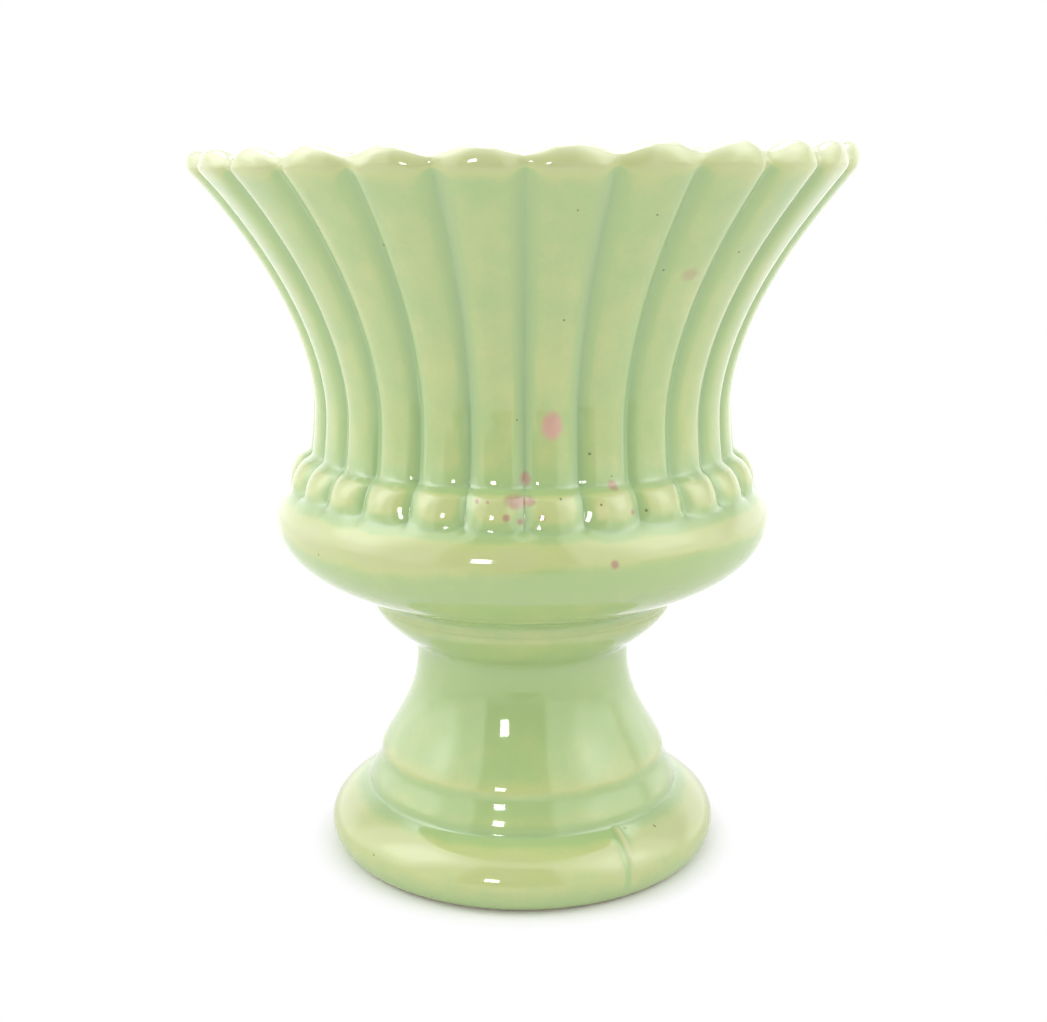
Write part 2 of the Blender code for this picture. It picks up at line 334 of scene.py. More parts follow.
handwork = np.random.default_rng(HAND_SEED)
rib_number = np.floor(in_ribs).astype(int) % RIB_COUNT
lobe_lift = -np.abs(handwork.normal(0.0, LOBE_VARIATION, RIB_COUNT))[rib_number]
toe_shift = handwork.normal(0.0, TOE_VARIATION, RIB_COUNT)[rib_number]
lobe_change = lobe_lift * bell(crest_height, LIP_TOP[1], LOBE_REACH)
toe_change = toe_shift * bell(crest_height, TOE_FOOT_HEIGHT, TOE_FOOT_REACH) * is_outside
worked_height = ring_height + (1.0 - share) * (lobe_change + toe_change)
bowl_grid = ring_points(ring_radius, worked_height, bowl_turn[None, :])
lean = RIM_LEAN * np.clip((crest_height - LEAN_START) / (LIP_TOP[1] - LEAN_START), 0.0, 1.0) ** 2
bowl_grid[:, :, 2] += lean * bowl_grid[:, :, 0] / LIP_TOP[0]
print("bowl grid", bowl_grid.shape[:2])

# %% [markdown]
# ## How thick the glaze lies
# Molten glaze runs off edges and collects in hollows. Where it is thin the buff clay shows through as a
# yellowish tan, palest on the lip, and where it is thick the green turns bluish. So the paint needs to
# know where the surface is an edge and where it is a hollow. Blender's Pointiness node could tell, but
# it depends on the mesh and is lost on export, so the bend of the surface is measured here on the grid
# and stored on every vertex as an attribute.

# %% Glaze thickness from the bend of a surface
BEND_OF_FULL_POOL = 0.45
SMOOTHING_PASSES = 5


def surface_normals(grid):
    """Outward unit normals: the step across the columns crossed with the step along the rows."""
    across = np.roll(grid, -1, axis=1) - np.roll(grid, 1, axis=1)
    normal = np.cross(across, np.gradient(grid, axis=0))
    return normal / np.linalg.norm(normal, axis=2, keepdims=True)


def turning(before, here, after):
    """Change of direction per mm at a point between two neighbours, as a vector."""
    back, ahead = here - before, after - here
    back_length = np.linalg.norm(back, axis=2, keepdims=True)
    ahead_length = np.linalg.norm(ahead, axis=2, keepdims=True)
    return 2.0 * (ahead / ahead_length - back / back_length) / (back_length + ahead_length)


def blur(values, passes):
    """Each value becomes a quarter of both neighbours and half of itself, along rows and then columns."""
    for _ in range(passes):
        padded = np.pad(values, ((1, 1), (0, 0)), mode="edge")
        values = 0.25 * padded[:-2] + 0.5 * values + 0.25 * padded[2:]
        values = 0.25 * np.roll(values, 1, axis=1) + 0.5 * values + 0.25 * np.roll(values, -1, axis=1)
    return values


def glaze_depth(grid):
    """Glaze thickness from 0 (edge, run thin) to 1 (hollow, pooled): the bend towards the outside, summed
    over both grid directions, blurred, and squeezed by a hyperbolic tangent."""
    around = turning(np.roll(grid, 1, axis=1), grid, np.roll(grid, -1, axis=1))
    before = np.concatenate([2.0 * grid[:1] - grid[1:2], grid[:-1]])
    after = np.concatenate([grid[1:], 2.0 * grid[-1:] - grid[-2:-1]])
    bend = ((around + turning(before, grid, after)) * surface_normals(grid)).sum(axis=2)
    return 0.5 + 0.5 * np.tanh(blur(bend, SMOOTHING_PASSES) / BEND_OF_FULL_POOL)


print("glaze counts as pooled where the surface bends by", BEND_OF_FULL_POOL, "rad per mm")

# %% [markdown]
# ## Runs and pools on the bowl
# Bend alone doesn't say where gravity took the glaze. It ran from above the widest line of the belly to
# below it, furthest on the left, and pooled in the crease under the toes and at the belly's lower edge.
# That could be painted by hand. Here each run is a bump over the height, added to the thickness. The
# lip is painted paler, partly for its thin glaze and partly as a painted highlight along its top, which is a
# second attribute.

# %% Glaze thickness on the bowl
CREASE_POOL = 0.3
ARRIS_POOL = 0.35
POOL_REACH = 1.1
BELLY_RUN = 0.2
BELLY_RUN_MIDDLE = 75.2
BELLY_RUN_STEP = 1.6
BELLY_RUN_REACH = 7.0
BELLY_SAG = 3.0
BELLY_SAG_TURN_DEG = -40.0
BELLY_SAG_FOCUS = 6
PALE_LIP_WITH_HIGHLIGHT_REACH = 1.6

crease_pool = CREASE_POOL * bell(crest_height, TOE_CREASE[1], POOL_REACH)
arris_pool = ARRIS_POOL * bell(crest_height, BELLY_ARRIS[1], POOL_REACH)
facing_sag = np.clip(np.cos(bowl_turn - math.radians(BELLY_SAG_TURN_DEG)), 0.0, 1.0) ** BELLY_SAG_FOCUS
run_middle = BELLY_RUN_MIDDLE - BELLY_SAG * facing_sag[None, :]
below_widest = np.tanh((run_middle - crest_height) / BELLY_RUN_STEP)
belly_run = BELLY_RUN * below_widest * bell(crest_height, BELLY_RUN_MIDDLE, BELLY_RUN_REACH)
bowl_depth = glaze_depth(bowl_grid) + (crease_pool + belly_run + arris_pool) * is_outside
# The pale band round the lip top is partly thin glaze and partly a painted highlight.
worn_lip = np.broadcast_to(bell(crest_height, LIP_TOP[1], PALE_LIP_WITH_HIGHLIGHT_REACH), bowl_depth.shape)
print("glaze depth on the bowl", bowl_depth.min().round(2), "to", bowl_depth.max().round(2))

# %% [markdown]
# ## From a grid to a mesh
# Every piece of this vase is a stack of rings, so one function makes them all: it joins neighbouring
# rings with four-sided faces and closes each end with a fan round a centre point, or joins the last
# ring to the first. A Screw modifier could spin a section, but not one that changes from rib to groove.
# The order of the corners makes the faces point outwards, so nothing has to be recalculated afterwards.

# %% Skin over rings, and the bowl
NO_CENTRES = np.empty((0, 3))


def ring_mesh(name, grid, centres=NO_CENTRES, **attributes):
    """A closed surface over rings, with a value on every point for each attribute. With two centres the
    ends are fans, and with none the rings form a loop."""
    rows, columns = grid.shape[:2]
    corner = np.arange(rows * columns).reshape(rows, columns)
    beside = np.roll(corner, -1, axis=1)
    quads = np.stack([corner, beside, np.roll(beside, -1, axis=0), np.roll(corner, -1, axis=0)], axis=2)
    faces = quads.reshape(-1, 4).tolist()
    if len(centres):
        first_centre = np.full(columns, rows * columns)
        faces = quads[:-1].reshape(-1, 4).tolist()
        faces += np.stack([first_centre, beside[0], corner[0]], axis=1).tolist()
        faces += np.stack([first_centre + 1, corner[-1], beside[-1]], axis=1).tolist()
    points = np.vstack([grid.reshape(-1, 3), centres]) * MM
    mesh = bpy.data.meshes.new(name)
    mesh.from_pydata(points.tolist(), [], faces)
    mesh.shade_smooth()
    for attribute_name, values in attributes.items():
        padded = np.concatenate([values.ravel(), np.full(len(centres), values.mean())])
        attribute = mesh.attributes.new(attribute_name, "FLOAT", "POINT")
        attribute.data.foreach_set("value", padded.astype(np.float32))
    piece = bpy.data.objects.new(name, mesh)
    bpy.context.scene.collection.objects.link(piece)
    print(name, len(points), "points", len(faces), "faces")
    return piece


bowl = ring_mesh(
    "glazed_bowl",
    bowl_grid,
    np.array([(0.0, 0.0, REGISTER_BOTTOM), (0.0, 0.0, FLOOR_EDGE[1])]),
    glaze_depth=bowl_depth,
    worn_lip=worn_lip,
)
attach(bowl, "root")
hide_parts("fluted_bowl")

# %% [markdown]
# ## The pedestal's section
# Its outside is a collar under the belly, a waisted stem, a sloping bead between two scored grooves and
# a rounded foot. Underneath it is hollow, as castings are, and it stands on a flat ring. Lathe-like
# tools could spin it too, but it goes through the same softening and rows as the bowl, so that the glaze
# rounds both alike.

# %% Pedestal section
PEDESTAL_ROUNDING = 0.55
SOCKET_FLOOR = 55.7
SOCKET_RADIUS = 20.5
SOCKET_DRAFT = 0.2
LAND = 56.6
COLLAR_TOP = (31.7, LAND)
COLLAR_FOOT = (24.8, 47.4)
NECK = (23.2, 43.0)
STEM_FOOT = (31.3, 21.9)
UPPER_GROOVE = (31.3, 20.2)
BEAD_TOP = (31.7, 19.2)
BEAD_EDGE = (33.44, 16.0)
BEAD_FOOT = (33.9, 14.2)
FOOT_TOP = (34.6, 13.3)
FOOT_WIDEST = (42.5, 5.6)
FOOT_RING_OUTER = (38.5, 0.0)
FOOT_RING_INNER = (33.4, 0.0)
FOOT_RING_BEVEL = (32.6, 0.9)
HOLLOW_SKIRT = (31.4, 9.0)
HOLLOW_NECK = (18.2, 41.0)
HOLLOW_CROWN = (12.5, 50.0)

socket = [(CENTRE_HOLE, SOCKET_FLOOR), (SOCKET_RADIUS - SOCKET_DRAFT, SOCKET_FLOOR), (SOCKET_RADIUS, LAND)]
outside = [
    np.array([*socket, COLLAR_TOP]),
    cubic(COLLAR_TOP, (34.0, 55.0), (29.5, 50.5), COLLAR_FOOT),
    cubic(COLLAR_FOOT, (23.6, 46.6), (23.2, 45.0), NECK),
    cubic(NECK, (23.2, 33.6), (28.6, 27.4), STEM_FOOT),
    np.array([STEM_FOOT, UPPER_GROOVE, BEAD_TOP, BEAD_EDGE]),
    cubic(BEAD_EDGE, (33.7, 15.52), (33.9, 15.0), BEAD_FOOT),
    cubic(BEAD_FOOT, (33.8, 13.7), (34.0, 13.45), FOOT_TOP),
    cubic(FOOT_TOP, (38.4, 11.8), (42.5, 9.1), FOOT_WIDEST),
    cubic(FOOT_WIDEST, (42.5, 2.8), (40.9, 0.5), FOOT_RING_OUTER),
]
hollow = [
    np.array([FOOT_RING_OUTER, FOOT_RING_INNER, FOOT_RING_BEVEL, HOLLOW_SKIRT]),
    cubic(HOLLOW_SKIRT, (29.0, 17.0), (18.2, 27.0), HOLLOW_NECK),
    cubic(HOLLOW_NECK, (18.2, 47.0), (16.5, 50.0), HOLLOW_CROWN),
    np.array([HOLLOW_CROWN, (CENTRE_HOLE, HOLLOW_CROWN[1])]),
]
pedestal_section = crowd_rows(soften(np.vstack(outside + hollow)[::-1], PEDESTAL_ROUNDING))
print("pedestal section", len(pedestal_section), "rows")

# %% [markdown]
# ## The mould seam
# The two halves of the pedestal's mould didn't meet exactly, and the seam was left on the foot, a little
# to the right of the front: a small ridge beside a shallow trough, with a fainter one opposite. A
# displacement node would show it in the render only, so the seam is in the mesh, and the mesh columns
# crowd together there.

# %% Pedestal surface with its mould seam
SEAM_DEG = 31.2
BACK_SEAM_DEG = SEAM_DEG - 180.0
BACK_SEAM_SHARE = 0.4
SEAM_LEAN_DEG_PER_MM = 0.09
SEAM_CROWDING = 9.0
SEAM_CROWDING_DEG = 3.0
SEAM_LIMIT = (33.5, 13.6)
FINE_TURNS = 7201
PEDESTAL_COLUMNS = 300
RIDGE_HEIGHT, RIDGE_PLACE, RIDGE_WIDTH = 0.28, 1.0, 0.7
RIDGE_TOP, RIDGE_FADE = 12.2, 2.2
TROUGH_DEPTH, TROUGH_PLACE, TROUGH_WIDTH = 0.3, -0.5, 1.2
TROUGH_TOP, TROUGH_FADE = 7.5, 4.0


def crowd_turns(middles_deg, columns):
    """Turns round the axis in radians, packed about ten times closer near some middles."""
    fine = np.linspace(-180.0, 180.0, FINE_TURNS)
    density = 1.0 + SEAM_CROWDING * sum(bell(fine, middle, SEAM_CROWDING_DEG) for middle in middles_deg)
    count = np.concatenate([[0.0], np.cumsum(density[1:])])
    return np.radians(np.interp(np.linspace(0.0, count[-1], columns, endpoint=False), count, fine))


def seam_offset(turn, radius, height, seam_deg):
    """Height of the seam above the turned surface in mm: a narrow ridge and, on its left, a wider trough."""
    seam = np.radians(seam_deg + SEAM_LEAN_DEG_PER_MM * (height - FOOT_WIDEST[1]))
    sideways = (turn - seam) * radius
    ridge = RIDGE_HEIGHT * bell(sideways, RIDGE_PLACE, RIDGE_WIDTH) * bell(height, RIDGE_TOP, RIDGE_FADE)
    trough = TROUGH_DEPTH * bell(sideways, TROUGH_PLACE, TROUGH_WIDTH) * bell(height, TROUGH_TOP, TROUGH_FADE)
    return ridge - trough


pedestal_turn = crowd_turns((SEAM_DEG, BACK_SEAM_DEG), PEDESTAL_COLUMNS)[None, :]
pedestal_radius, pedestal_height = pedestal_section.T[:, :, None]
turned_grid = ring_points(pedestal_radius, pedestal_height, pedestal_turn)
is_foot = (pedestal_radius > SEAM_LIMIT[0]) & (pedestal_height < SEAM_LIMIT[1])
front_seam = seam_offset(pedestal_turn, pedestal_radius, pedestal_height, SEAM_DEG)
back_seam = seam_offset(pedestal_turn, pedestal_radius, pedestal_height, BACK_SEAM_DEG)
seam = (front_seam + BACK_SEAM_SHARE * back_seam) * is_foot
pedestal_grid = turned_grid + surface_normals(turned_grid) * seam[:, :, None]
pedestal_grid[:, :, 2] = np.maximum(pedestal_grid[:, :, 2], 0.0)
print("seam from", seam.min().round(2), "to", seam.max().round(2), "mm")

# %% [markdown]
# ## Runs and pools on the pedestal
# On the pedestal too the glaze is measured by the bend of the surface and then moved by gravity: it pools
# on the collar, at its upper edge and at the bottom of the foot, and it is thin on the foot's slope.
# The ring that the vase stands on was wiped before firing, so there the bare clay shows.

# %% Glaze thickness on the pedestal, and its mesh
COLLAR_POOL, COLLAR_POOL_HEIGHT, COLLAR_POOL_REACH = 0.12, 54.0, 3.0
EDGE_POOL, EDGE_POOL_HEIGHT, EDGE_POOL_REACH = 0.25, 55.6, 0.9
FOOT_POOL, FOOT_POOL_HEIGHT, FOOT_POOL_REACH = 0.3, 0.0, 4.0
SLOPE_THINNING, SLOPE_THINNING_HEIGHT, SLOPE_THINNING_REACH = 0.18, 10.8, 2.2
BARE_FADE = 0.45
BARE_LIMIT = 1.5 * BARE_FADE

runs = COLLAR_POOL * bell(pedestal_height, COLLAR_POOL_HEIGHT, COLLAR_POOL_REACH)
runs = runs + EDGE_POOL * bell(pedestal_height, EDGE_POOL_HEIGHT, EDGE_POOL_REACH)
runs = runs + FOOT_POOL * bell(pedestal_height, FOOT_POOL_HEIGHT, FOOT_POOL_REACH)
runs = runs - SLOPE_THINNING * bell(pedestal_height, SLOPE_THINNING_HEIGHT, SLOPE_THINNING_REACH)
pedestal = ring_mesh(
    "glazed_pedestal",
    pedestal_grid,
    np.array([(0.0, 0.0, HOLLOW_CROWN[1]), (0.0, 0.0, SOCKET_FLOOR)]),
    glaze_depth=glaze_depth(pedestal_grid) + runs,
    bare_clay=np.clip((BARE_LIMIT - pedestal_grid[:, :, 2]) / BARE_FADE, 0.0, 1.0),
)
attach(pedestal, "root")
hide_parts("pedestal")

# %% [markdown]
# ## The joint under the belly
# Casting slip sticks the bowl to the pedestal, and glaze then fills the crease between them. In CAD it
# is a flat ring with small gaps to both castings. On the real vase everything is fused there. A boolean
# union would lose the separate pieces, so this ring is drawn with a hollow outer face that meets both
# castings, and it is sunk a little into each. It has the bowl's own columns, so that the line where the
# two meet is even.

# %% Joint fillet
SUNK_IN_BOWL = [(21.0, 56.3), (21.0, 58.3), (32.0, 58.9), (39.2, 60.75), (38.3, 60.22)]
SUNK_IN_PEDESTAL = [(32.34, 55.6), (31.9, 54.9), (31.0, 55.0)]
FILLET_TOP = (37.4, 59.83)
FILLET_FOOT = (32.4, 56.1)
FILLET_STEPS = 16
JOINT_DEPTH = 0.38
JOINT_POOL = 0.5
JOINT_POOL_REACH = 0.7

joint_line = np.vstack([
    np.array(SUNK_IN_BOWL),
    cubic(FILLET_TOP, (35.0, 58.86), (32.6, 58.15), FILLET_FOOT, FILLET_STEPS),
    np.array(SUNK_IN_PEDESTAL),
])[::-1]
joint_grid = ring_points(joint_line[:, :1], joint_line[:, 1:], bowl_turn[None, :])
joint_depth = JOINT_DEPTH + JOINT_POOL * bell(joint_grid[:, :, 2], SEAT, JOINT_POOL_REACH)
joint = ring_mesh("joint_fillet", joint_grid, glaze_depth=joint_depth)
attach(joint, "root")
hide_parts("joint_slip")

# %% [markdown]
# ## Colours and nodes
# Colours are read off as sRGB hex codes, while the nodes work in linear light, so one function turns one
# into the other. Nodes could be placed by hand in the shader editor. In a script, one small function that
# adds a node, sets it and links it keeps each material readable.

# %% Colour and node helpers
MID_GREEN = "#AAC284"


def srgb(hex_code):
    """Linear colour of an sRGB hex code: each channel c becomes ((c + 0.055) / 1.055) to the power 2.4."""
    channels = np.array([int(hex_code[place:place + 2], 16) for place in (1, 3, 5)]) / 255.0
    linear = np.where(channels <= 0.04045, channels / 12.92, ((channels + 0.055) / 1.055) ** 2.4)
    return (*linear.tolist(), 1.0)


def add_node(tree, kind, sockets=None, **settings):
    """One node with its settings. Each named or numbered socket takes a plain value or another node's
    output."""
    node = tree.nodes.new(kind)
    for name, value in settings.items():
        setattr(node, name, value)
    for key, value in (sockets or {}).items():
        if isinstance(value, bpy.types.NodeSocket):
            tree.links.new(value, node.inputs[key])
        else:
            node.inputs[key].default_value = value
    return node


print("mid green in linear light", [round(channel, 3) for channel in srgb(MID_GREEN)])

# %% [markdown]
# ## Specks in the glaze
# The bowl carries a splash of pink glaze that fell on it before firing: one clear oval drop, a blotch on
# the toes and several dots. There are also pinholes, where gas broke through, a brownish smudge near the
# rim and a thin spot on one toe. Each is written as a turn from the front in degrees, a height, a width
# and a tall size in millimetres, and becomes a small soft ellipse in the paint. Painting vertices would
# need a far finer mesh.

# %% Where the specks are
PINK_DROP = [(7.3, 100.0, 3.7, 5.0)]
PINK_DOTS = [
    (0.6, 90.2, 1.9, 2.3), (-1.4, 86.3, 4.0, 2.5), (1.3, 86.5, 2.6, 1.6),
    (-3.6, 84.2, 1.3, 1.3), (-0.4, 82.8, 1.1, 1.1), (4.8, 84.0, 1.1, 1.1), (22.4, 88.4, 1.8, 1.8),
    (25.6, 84.0, 1.1, 1.0), (18.6, 74.7, 1.6, 1.6), (-10.0, 86.4, 0.8, 0.8), (-7.3, 86.4, 0.6, 0.6),
]
BOWL_PINHOLES = [
    (-37.6, 136.2, 0.4, 0.4), (-25.1, 132.8, 0.4, 0.4), (44.5, 131.0, 0.4, 0.4), (28.2, 128.4, 0.3, 0.3),
    (8.9, 120.0, 0.4, 0.4), (16.4, 94.2, 0.5, 0.5), (28.8, 83.4, 0.5, 0.5), (22.5, 90.5, 0.3, 0.3),
    (8.3, 86.8, 0.4, 0.4), (17.2, 85.2, 0.4, 0.4), (-1.1, 101.5, 0.3, 0.3), (21.2, 138.2, 0.4, 0.3),
    (9.1, 139.5, 0.3, 0.3), (-49.5, 73.0, 0.4, 0.4),
]
PEDESTAL_PINHOLES = [(-47.7, 7.1, 0.4, 0.4), (47.8, 11.8, 0.4, 0.4)]
BROWN_SMUDGES = [(34.0, 128.0, 3.4, 2.2)]
THIN_SPOTS = [(17.9, 84.3, 2.2, 3.4)]
print(len(PINK_DROP + PINK_DOTS), "splashes and", len(BOWL_PINHOLES + PEDESTAL_PINHOLES), "pinholes")

# %% [markdown]
# ## A speck as nodes
# An image could hold the specks, but it would have to be painted and unwrapped. A Mapping node can move,
# turn and scale the Object coordinates so that one speck becomes a ball of radius 1, and the length of
# the moved place then says how far outside it a point is. A fine noise makes the edge ragged.

# %% Speck mask
SPECK_THICKNESS = 2.0 * MM
RAGGED_SIZE = 10.0 / 9.0 * MM
HIDDEN_SIDE_PENALTY = 1e6


def surface_place(grid, turn_deg, height):
    """The outside grid point nearest to a turn from the front and a height, in metres."""
    turn = np.degrees(np.arctan2(grid[:, :, 0], -grid[:, :, 1]))
    radius = np.hypot(grid[:, :, 0], grid[:, :, 1])
    off_turn = np.radians(turn - turn_deg) * radius
    faces_inwards = (surface_normals(grid) * grid)[:, :, :2].sum(axis=2) < 0
    distance = off_turn**2 + (grid[:, :, 2] - height) ** 2 + HIDDEN_SIDE_PENALTY * faces_inwards
    return Vector(grid.reshape(-1, 3)[np.argmin(distance)]) * MM


def speck_mask(tree, grid, specks, softness, raggedness):
    """A value that is 1 inside any of the specks: each is the length of the place divided by the speck's
    half sizes, in axes turned to face outwards, faded from 1 + softness down to 1 - softness. A fine noise
    times the raggedness moves the edge."""
    coordinates = add_node(tree, "ShaderNodeTexCoord").outputs["Object"]
    wobble = add_node(tree, "ShaderNodeTexNoise", {
        "Vector": coordinates, "Scale": 1.0 / RAGGED_SIZE, "Detail": 1.0,
    })
    edge = 1.0 + 0.5 * raggedness
    mask = 0.0
    for turn_deg, height, width, tall in specks:
        local = add_node(tree, "ShaderNodeMapping", {
            "Vector": coordinates,
            "Location": surface_place(grid, turn_deg, height),
            "Rotation": (0.0, 0.0, math.radians(turn_deg)),
            "Scale": (0.5 * width * MM, SPECK_THICKNESS, 0.5 * tall * MM),
        }, vector_type="TEXTURE")
        distance = add_node(tree, "ShaderNodeVectorMath", {0: local.outputs[0]}, operation="LENGTH")
        ragged = add_node(tree, "ShaderNodeMath", {
            0: wobble.outputs["Fac"], 1: raggedness, 2: distance.outputs["Value"],
        }, operation="MULTIPLY_ADD")
        inside = add_node(tree, "ShaderNodeMapRange", {
            "Value": ragged.outputs[0], "From Min": edge + softness, "From Max": edge - softness,
        }, interpolation_type="SMOOTHSTEP")
        joined = add_node(tree, "ShaderNodeMath", {0: inside.outputs[0], 1: mask}, operation="MAXIMUM")
        mask = joined.outputs[0]
    return mask


print("a speck reaches", SPECK_THICKNESS / MM, "mm to each side of the surface")

# %% [markdown]
# ## The glaze
# It is a gloss glaze on buff earthenware: a glassy coat about 0.4 mm thick, coloured green by copper. To
# the eye it is a sharp clear reflection over a soft body colour that shifts from yellowish tan on the
# edges, where it is thin, through green to a bluish green in the hollows. A plain green would look like
# plastic. So the colour is a ramp over the stored thickness, broken up by a cloudy pattern a few
# millimetres wide and a fine one of about a millimetre. A very low bump gives the slightly uneven skin
# of a poured glaze. Glazes have an IOR of about 1.5 to 1.7, and the strong reflections in the photograph
# needed a little more.

# %% Glaze material
GLAZE_TONES = [(0.0, "#C0C493"), (0.3, "#BEC888"), (0.48, MID_GREEN), (0.7, "#A8C085"), (1.0, "#A0BC88")]
CLOUD_SIZE, CLOUD_STRENGTH = 7.0 * MM, 0.30
FLECK_SIZE, FLECK_STRENGTH = 1.0 * MM, 0.10
PATTERN_DETAIL = 2.0
PEEL_SIZE, PEEL_HEIGHT, PEEL_DETAIL = 3.0 * MM, 0.006 * MM, 1.0
GLAZE_ROUGHNESS = 0.06
GLAZE_IOR = 1.75
# The Mix node's colour sockets go by number, because their names are used more than once.
FIRST_COLOR, SECOND_COLOR, MIXED_COLOR = 6, 7, 2


def pale_green_gloss_glaze(name, grid, speck_kinds, wear_and_highlight_name, wear_and_highlight_hex):
    """Glaze colour from its stored thickness, clouded and flecked, with specks, and with another colour
    where a stored value says so: on the bowl a pale lip of thin glaze with a painted highlight, and on the
    pedestal a foot ring with the glaze wiped off."""
    material = bpy.data.materials.new(name)
    material.use_nodes = True
    tree = material.node_tree
    shader = tree.nodes["Principled BSDF"]
    coordinates = add_node(tree, "ShaderNodeTexCoord").outputs["Object"]
    depth = add_node(tree, "ShaderNodeAttribute", attribute_name="glaze_depth").outputs["Fac"]
    for size, strength in ((CLOUD_SIZE, CLOUD_STRENGTH), (FLECK_SIZE, FLECK_STRENGTH)):
        noise = add_node(tree, "ShaderNodeTexNoise", {
            "Vector": coordinates, "Scale": 1.0 / size, "Detail": PATTERN_DETAIL,
        })
        centred = add_node(tree, "ShaderNodeMath", {0: noise.outputs["Fac"], 1: 0.5}, operation="SUBTRACT")
        depth = add_node(tree, "ShaderNodeMath", {
            0: centred.outputs[0], 1: strength, 2: depth,
        }, operation="MULTIPLY_ADD").outputs[0]
    ramp = add_node(tree, "ShaderNodeValToRGB", {"Fac": depth})
    while len(ramp.color_ramp.elements) < len(GLAZE_TONES):
        ramp.color_ramp.elements.new(0.5)
    for element, (place, hex_code) in zip(ramp.color_ramp.elements, GLAZE_TONES):
        element.position = place
        element.color = srgb(hex_code)
    layers = [(speck_mask(tree, grid, *kind), hex_code) for *kind, hex_code in speck_kinds]
    # The last layer is the bowl's pale lip with its painted highlight, or the pedestal's bare foot ring.
    wear_and_highlight = add_node(tree, "ShaderNodeAttribute", attribute_name=wear_and_highlight_name).outputs["Fac"]
    color = ramp.outputs["Color"]
    for share_shown, hex_code in [*layers, (wear_and_highlight, wear_and_highlight_hex)]:
        sockets = {"Factor": share_shown, FIRST_COLOR: color, SECOND_COLOR: srgb(hex_code)}
        color = add_node(tree, "ShaderNodeMix", sockets, data_type="RGBA").outputs[MIXED_COLOR]
    tree.links.new(color, shader.inputs["Base Color"])
    shader.inputs["Roughness"].default_value = GLAZE_ROUGHNESS
    shader.inputs["IOR"].default_value = GLAZE_IOR
    peel = add_node(tree, "ShaderNodeTexNoise", {
        "Vector": coordinates, "Scale": 1.0 / PEEL_SIZE, "Detail": PEEL_DETAIL,
    })
    bump = add_node(tree, "ShaderNodeBump", {
        "Height": peel.outputs["Fac"], "Strength": 1.0, "Distance": PEEL_HEIGHT,
    })
    tree.links.new(bump.outputs["Normal"], shader.inputs["Normal"])
    print(name, len(tree.nodes), "nodes")
    return material


print(len(GLAZE_TONES), "tones from thin to pooled glaze")

# %% [markdown]
# ## Glaze on the three pieces
# One recipe serves all pieces, with their own specks and a second colour: on the bowl a pale lip, thin
# glaze with a painted highlight, and on the pedestal the bare foot ring, where the glaze was wiped off.
# Bare clay is also dull, so on the pedestal the roughness follows the same stored value. Two unlike
# materials could split the mesh there, but a wiped edge is soft.

# %% Glazed bowl, pedestal and joint
PINK_GLAZE = "#CFA796"
DULL_PINK = "#B2947A"
PINHOLE_BROWN = "#7A7A52"
SMUDGE_BROWN = "#B3AE80"
THIN_GLAZE = "#CED098"
# The lip's colour is thin glaze made paler by a painted highlight.
PALE_LIP_WITH_HIGHLIGHT = "#E8EDC8"
BARE_CLAY = "#D6C4A6"
BARE_ROUGHNESS = 0.85

# Each kind of speck has its places, the softness and the raggedness of its edge, and its colour.
bowl_specks = [
    (BROWN_SMUDGES, 0.5, 0.5, SMUDGE_BROWN),
    (THIN_SPOTS, 0.6, 0.5, THIN_GLAZE),
    (PINK_DROP, 0.4, 0.4, PINK_GLAZE),
    (PINK_DOTS, 0.5, 0.5, DULL_PINK),
    (BOWL_PINHOLES, 0.6, 0.3, PINHOLE_BROWN),
]
pedestal_specks = [(PEDESTAL_PINHOLES, 0.6, 0.3, PINHOLE_BROWN)]
bowl_glaze = pale_green_gloss_glaze("bowl_glaze", bowl_grid, bowl_specks, "worn_lip", PALE_LIP_WITH_HIGHLIGHT)
pedestal_glaze = pale_green_gloss_glaze(
    "pedestal_glaze", pedestal_grid, pedestal_specks, "bare_clay", BARE_CLAY
)
pedestal_tree = pedestal_glaze.node_tree
bare = add_node(pedestal_tree, "ShaderNodeAttribute", attribute_name="bare_clay")
dullness = add_node(pedestal_tree, "ShaderNodeMapRange", {
    "Value": bare.outputs["Fac"], "To Min": GLAZE_ROUGHNESS, "To Max": BARE_ROUGHNESS,
})
pedestal_tree.links.new(dullness.outputs[0], pedestal_tree.nodes["Principled BSDF"].inputs["Roughness"])
bowl.data.materials.append(bowl_glaze)
pedestal.data.materials.append(pedestal_glaze)
joint.data.materials.append(pedestal_glaze)

# %% [markdown]
# ## White surroundings
# The vase stands in a white light tent. For the eye, and for reflections, the tent is plain white. For
# soft light falling on the vase it is set lower, so that the glaze renders about in the colour that is
# written above. A dome of lamps could do the same, but the world with Light Path needs no geometry.

# %% White tent
WHITE = (1.0, 1.0, 1.0, 1.0)
TENT_LIGHT = 0.72


def reflected(path):
    """1 for rays that a mirror reflection or glass sends on, else 0."""
    return add_node(path.id_data, "ShaderNodeMath", {
        0: path.outputs["Is Glossy Ray"], 1: path.outputs["Is Transmission Ray"],
    }, operation="MAXIMUM").outputs[0]


def seen_directly(path):
    """1 for rays from the camera, a mirror reflection or through glass, else 0."""
    return add_node(path.id_data, "ShaderNodeMath", {
        0: path.outputs["Is Camera Ray"], 1: reflected(path),
    }, operation="MAXIMUM").outputs[0]


